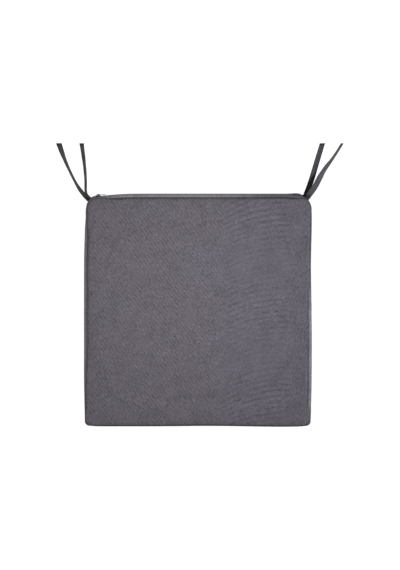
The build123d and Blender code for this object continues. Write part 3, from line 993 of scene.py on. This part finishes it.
def buildPiping(word, seam, top):
    up = Vector((0, 0, 1))
    rows, paintedShading, cordRows = [], [], []
    near, far = piping["flangeReach"]
    half = piping["flange"] / 2
    for index, place in enumerate(places(piping["count"])):
        centre, outward, seamPoint, angle = pipingCentre(place, seam, top)
        flat, normal = outlineAt(pad["faceInset"], place)
        shadingHere = pipingShading(flat.x, flat.y, normal, top)
        ring = []
        for k in range(piping["points"] + 1):
            turn = math.radians(piping["openAngle"] * (1 - 2 * k / piping["points"])) - angle
            gather = piping["gather"] * ripple(place + 0.002 * k, 6 + top, piping["gatherLength"])
            radius = pipeRadius + gather
            ring.append(centre + outward * (radius * math.cos(turn)) + up * (radius * math.sin(turn)))
            ring[-1].z = max(ring[-1].z, piping["lowest"])
            # painted shade on the side of the sleeve that turns into the seam
            paintedShading.append(shadingHere + piping["shadingSeam"] * max(-math.cos(turn), 0) ** 2 * (1 - 0.6 * max(normal.x, 0)))
        for distance, level in ((near, -half), (far, -half), (far, half), (near, half)):
            ring.append(seamPoint - outward * distance + up * level)
            paintedShading.append(shadingHere + piping["shadingSeam"])
        rows.append(ring)
        if index % 2 == 0:
            turns = [2 * math.pi * k / piping["fillerPoints"] for k in range(piping["fillerPoints"])]
            cordRows.append([centre + piping["filler"] * (outward * math.cos(t) + up * math.sin(t))
                             for t in turns])
    mesh = gridMesh(word + "PipingSleeve", rows, wrapRows=True, wrapColumns=True,
                    uvTurn=math.radians(piping["biasTurn"]))
    paintShadingInto(mesh, paintedShading)
    sleeve = makeObject(word + "PipingSleeve", mesh, pipingFabric, recalc=True)
    settle(sleeve, "cover", "piping_fabric", word + "_piping_sleeve")
    mesh = gridMesh(word + "PipingCord", cordRows, wrapRows=True, wrapColumns=True)
    cord = makeObject(word + "PipingCord", mesh, cottonCord, recalc=True)
    settle(cord, "cover", "piping_filler", word + "_piping_cord")


buildPiping("top", highSeam, True)
buildPiping("bottom", lowSeam, False)
print("piping made")


# Zip
zipSettings = {
    "bandEdge": 4.75 * mm,  # fold of the fabric, from the zip's middle
    "foldRound": 0.6 * mm,
    "ruffle": 0.12 * mm,
    "ruffleLength": 10 * mm,
    "columns": 150,
    "tapeSoftness": 0.12 * mm,
    "pitch": 1.25 * mm,
    "coilThread": 0.36 * mm,
    "coilInset": (0.6 * mm, 1.2 * mm),
    # one turn of the coil: from the tape over the row and back under at the head, which faces the zip's middle
    "coilTurn": [(0.15, 0.25, 0.30), (0.05, 0.35, 2.15), (-0.25, 2.9, 2.15), (-0.35, 2.05, 0.45)],
    "stitchLength": 2.3 * mm,
    "stitchSpacing": 3.1 * mm,
    "stitchRadius": 0.16 * mm,
    "stitchInset": 2.6 * mm,
    "stitchEnds": 1.5 * mm,
    "edgeBreak": 0.16 * mm,
}


def buildBand(word, side):
    face, inner = bandHigh.y, bandHigh.y - pad["wall"]
    edge = zipSettings["bandEdge"]
    rounded = edge + zipSettings["foldRound"]
    top = (highSeam - lowSeam) / 2 - pad["layerStep"]
    lip = top - pad["lip"]
    rows = []
    for c in range(zipSettings["columns"] + 1):
        x = bandLow.x + (bandHigh.x - bandLow.x) * c / zipSettings["columns"]
        ruffle = zipSettings["ruffle"] * noise.noise(Vector((x / zipSettings["ruffleLength"], side * 3.0, 0.0)))
        outline = [(face - 0.25 * mm, edge + 0.02 * mm), (face - 0.05 * mm, edge + 0.25 * mm), (face, rounded)]
        outline += [(face + ruffle * k / 8, rounded + (top - rounded) * k / 8) for k in range(1, 9)]
        outline += [(bandLow.y, top), (bandLow.y, lip), (inner, lip)]
        outline += [(inner, rounded + (top - rounded) * k / 8) for k in (6, 4, 2)]
        outline += [(inner, edge + 0.5 * mm), (inner + 0.1 * mm, edge + 0.1 * mm)]
        rows.append([pulled((x, y, zipMiddle + side * level)) for y, level in outline])
    mesh = gridMesh(word + "ZipBand", rows, wrapColumns=True, capRows=True)
    obj = makeObject(word + "ZipBand", mesh, boxingFabric, recalc=True)
    settle(obj, "cover", "cover_fabric", word + "_zip_band")


def buildTape(word):
    low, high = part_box(word + "_zip_tape")
    soft = zipSettings["tapeSoftness"]
    middle = (low.z + high.z) / 2
    section = [(low.y, low.z + soft), (low.y + soft, low.z), (high.y - soft, low.z), (high.y, low.z + soft),
               (high.y, middle), (high.y, high.z - soft), (high.y - soft, high.z), (low.y + soft, high.z),
               (low.y, high.z - soft), (low.y, middle)]
    rows = []
    for c in range(zipSettings["columns"] + 1):
        x = low.x + (high.x - low.x) * c / zipSettings["columns"]
        rows.append([Vector((x, y, z)) for y, z in section])
    mesh = gridMesh(word + "ZipTape", rows, wrapColumns=True, capRows=True)
    obj = makeObject(word + "ZipTape", mesh, zipTape, recalc=True)
    settle(obj, "cover", "zip_tape", word + "_zip_tape")


for word, side in (("upper", 1), ("lower", -1)):
    buildBand(word, side)
    buildTape(word)


def repeatTree(name, material, loop):
    # copies of one small bent tube along a line, at a spacing, each one's up side from the line's own attribute
    tree = bpy.data.node_groups.new(name, "GeometryNodeTree")
    sockets = tree.interface
    sockets.new_socket(name="Line", in_out="INPUT", socket_type="NodeSocketGeometry")
    keys = {key: sockets.new_socket(name=key, in_out="INPUT", socket_type="NodeSocketFloat").identifier
            for key in ("Spacing", "Thread Radius")}
    sockets.new_socket(name="Mesh", in_out="OUTPUT", socket_type="NodeSocketGeometry")
    given = addNode(tree, "NodeGroupInput").outputs
    line = addNode(tree, "GeometryNodeMeshToCurve", {0: given["Line"]})
    spaced = addNode(tree, "GeometryNodeResampleCurve",
                     {"mode": "LENGTH", "Curve": line, "Length": given["Spacing"]})
    bend = addNode(tree, "GeometryNodeCurvePrimitiveBezierSegment",
                   {"Resolution": 6, "Start": loop[0], "Start Handle": loop[1], "End Handle": loop[2],
                    "End": loop[3]})
    ring = addNode(tree, "GeometryNodeCurvePrimitiveCircle", {"Resolution": 6, "Radius": given["Thread Radius"]})
    tube = addNode(tree, "GeometryNodeCurveToMesh",
                   {"Fill Caps": True, "Curve": bend, "Profile Curve": ring})
    tangent = addNode(tree, "GeometryNodeInputTangent")
    upward = addNode(tree, "GeometryNodeInputNamedAttribute", {"data_type": "FLOAT_VECTOR", "Name": "upward"})
    axes = addNode(tree, "FunctionNodeAxesToRotation",
                   {"primary_axis": "X", "secondary_axis": "Z", "Primary Axis": tangent,
                    "Secondary Axis": upward})
    copies = addNode(tree, "GeometryNodeInstanceOnPoints", {"Points": spaced, "Instance": tube,
                                                            "Rotation": axes})
    real = addNode(tree, "GeometryNodeRealizeInstances", {0: copies})
    smooth = addNode(tree, "GeometryNodeSetShadeSmooth", {0: real})
    painted = addNode(tree, "GeometryNodeSetMaterial", {"Material": material, 0: smooth})
    addNode(tree, "NodeGroupOutput", {0: painted})
    return tree, keys


def repeatAlong(name, tree, keys, line, spacing, radius):
    # copies along a line on the zip's face, their up sides to the rear
    mesh = bpy.data.meshes.new(name)
    mesh.from_pydata([tuple(p) for p in line], [(i, i + 1) for i in range(len(line) - 1)], [])
    attribute = mesh.attributes.new("upward", "FLOAT_VECTOR", "POINT")
    for item in attribute.data:
        item.vector = (0, 1, 0)
    obj = bpy.data.objects.new(name, mesh)
    bpy.context.scene.collection.objects.link(obj)
    modifier = obj.modifiers.new("repeat", "NODES")
    modifier.node_group = tree
    modifier[keys["Spacing"]] = spacing
    modifier[keys["Thread Radius"]] = radius
    applyModifiers(obj)
    return obj


half, radius = zipSettings["stitchLength"] / 2, zipSettings["stitchRadius"]
stitch = [(-half, 0, -0.6 * radius), (-0.6 * half, 0, 1.6 * radius), (0.6 * half, 0, 1.6 * radius),
          (half, 0, -0.6 * radius)]
stitchTree, stitchKeys = repeatTree("bandStitches", sewingThread, stitch)
for word, side in (("upper", 1), ("lower", -1)):
    level = zipMiddle + side * (zipSettings["bandEdge"] + zipSettings["stitchInset"])
    start, end = bandLow.x + zipSettings["stitchEnds"], bandHigh.x - zipSettings["stitchEnds"]
    line = [Vector((start + (end - start) * i / 80, bandHigh.y, level)) for i in range(81)]
    stitches = repeatAlong(word + "BandStitches", stitchTree, stitchKeys, line,
                           zipSettings["stitchSpacing"], radius)
    settle(stitches, "cover", "cover_fabric")

    coilLow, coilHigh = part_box(word + "_zip_coil")
    root = coilHigh.z if side > 0 else coilLow.z
    turn = [(x * mm, side * y * mm, z * mm) for x, y, z in zipSettings["coilTurn"]]
    coilTree, coilKeys = repeatTree(word + "CoilTurns", nylonCoil, turn)
    offset = 0.5 * zipSettings["pitch"] if side > 0 else 0.0  # the two rows mesh, half a turn apart
    start, end = coilLow.x + zipSettings["coilInset"][0], coilHigh.x - zipSettings["coilInset"][1]
    line = [Vector((x + offset, coilLow.y, root)) for x in (start, end)]
    coil = repeatAlong(word + "ZipCoil", coilTree, coilKeys, line, zipSettings["pitch"], zipSettings["coilThread"])
    settle(coil, "cover", "zip_coil", word + "_zip_coil")

for node, name, body in (("zip_slider", "zipSlider", "slider"), ("zip_puller", "zipPuller", "puller")):
    # the part's own shape with its edges broken
    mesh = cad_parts[node].data.copy()
    shell = bmesh.new()
    shell.from_mesh(mesh)
    bmesh.ops.remove_doubles(shell, verts=shell.verts, dist=0.002 * mm)
    bmesh.ops.dissolve_limit(shell, angle_limit=math.radians(4), verts=shell.verts, edges=shell.edges)
    bmesh.ops.recalc_face_normals(shell, faces=shell.faces)
    shell.to_mesh(mesh)
    shell.free()
    obj = makeObject(name, mesh, blackLacquer)
    bevel = obj.modifiers.new("edges", "BEVEL")
    bevel.width = zipSettings["edgeBreak"]
    bevel.segments = 2
    bevel.limit_method = "ANGLE"
    bevel.angle_limit = math.radians(35)
    bevel.harden_normals = True
    applyModifiers(obj)
    settle(obj, body, "zip_metal", node)
print("zip made")


# Foam core
foam = {
    "side": 40,
    "gap": 0.6 * mm,  # from the cover's inside
    "floorGap": 0.7 * mm,
    "channel": 4.2 * mm,  # room for the tapes and the slider's back plate along the rear
    "channelLevels": (9 * mm, 12.5 * mm),
    # mm inwards, mm up
    "profile": [(6.9, 5.2), (0.2, 5.6), (0.0, 9), (0.0, 13), (0.0, 17.5), (0.0, 22), (0.0, 26), (0.2, 29.4),
                (6.9, 29.8), (7.4, 33.2), (9.0, 34.0), (14.0, 35.0), (22.0, 35.6)],
    "crown": 0.6 * mm,
}


def buildFoam():
    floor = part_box("foam_core")[0].z
    inset = pad["faceInset"] + pad["wall"] + foam["gap"]
    shape = [(8.5, floor + foam["floorGap"]), (7.0, floor + foam["floorGap"] + 0.6 * mm)]
    shape += [(step, level * mm) for step, level in foam["profile"]]
    rings = []
    for step, z in shape:
        ring = []
        for place in places(4 * foam["side"]):
            flat, normal = outlineAt(inset + step * mm, place)
            behind = max(normal.y, 0) ** 2 * (1 - ease(abs(z - zipMiddle), *foam["channelLevels"]))
            ring.append(lifted(place, inset + step * mm + behind * foam["channel"], z))
        rings.append(ring)
    mesh = sheetMesh("foamCore", rings, foam["side"], foam["crown"])
    shell = bmesh.new()
    shell.from_mesh(mesh)
    bmesh.ops.contextual_create(shell, geom=[e for e in shell.edges if e.is_boundary])
    bmesh.ops.triangulate(shell, faces=[f for f in shell.faces if len(f.verts) > 4])
    shell.to_mesh(mesh)
    shell.free()
    obj = makeObject("foamCore", mesh, cutFoam, recalc=True)
    settle(obj, "cover", "foam", "foam_core")


buildFoam()
print("foam made")


# Floor and light
studio = {
    "paper": "A3A3A3",
    "paperGlow": 0.92,
    "floor": 40.0,
    "world": 0.40,
    "keyPower": 1.98,
    "keySize": 0.30,
    "keyPlace": (0.0, 0.07, 0.54),
}
# white paper sweep: matt and even, with a little light of its own
paper, tree = newMaterial("whitePaperSweep")
finishMaterial(tree, {"Base Color": linearColor(studio["paper"]), "Roughness": 0.9, "Specular IOR Level": 0.1,
                      "Emission Color": (1, 1, 1, 1), "Emission Strength": studio["paperGlow"]})
floorMesh = bpy.data.meshes.new("floor")
size = studio["floor"]
floorMesh.from_pydata([(-size, -size, 0), (size, -size, 0), (size, size, 0), (-size, size, 0)], [], [(0, 1, 2, 3)])
floorObject = makeObject("floor", floorMesh, paper)

world = bpy.data.worlds.new("studio")
bpy.context.scene.world = world
world.use_nodes = True
background = world.node_tree.nodes["Background"].inputs
background["Color"].default_value = (1, 1, 1, 1)
background["Strength"].default_value = studio["world"]

# one square soft light over the pad's rear half, shining straight down
keyData = bpy.data.lights.new("keyLight", "AREA")
keyData.shape = "SQUARE"
keyData.size = studio["keySize"]
keyData.energy = studio["keyPower"]
keyLight = bpy.data.objects.new("keyLight", keyData)
bpy.context.scene.collection.objects.link(keyLight)
keyLight.location = studio["keyPlace"]
keyLight.visible_camera = False
bpy.context.scene.view_settings.view_transform = "Standard"
print("floor and light set")
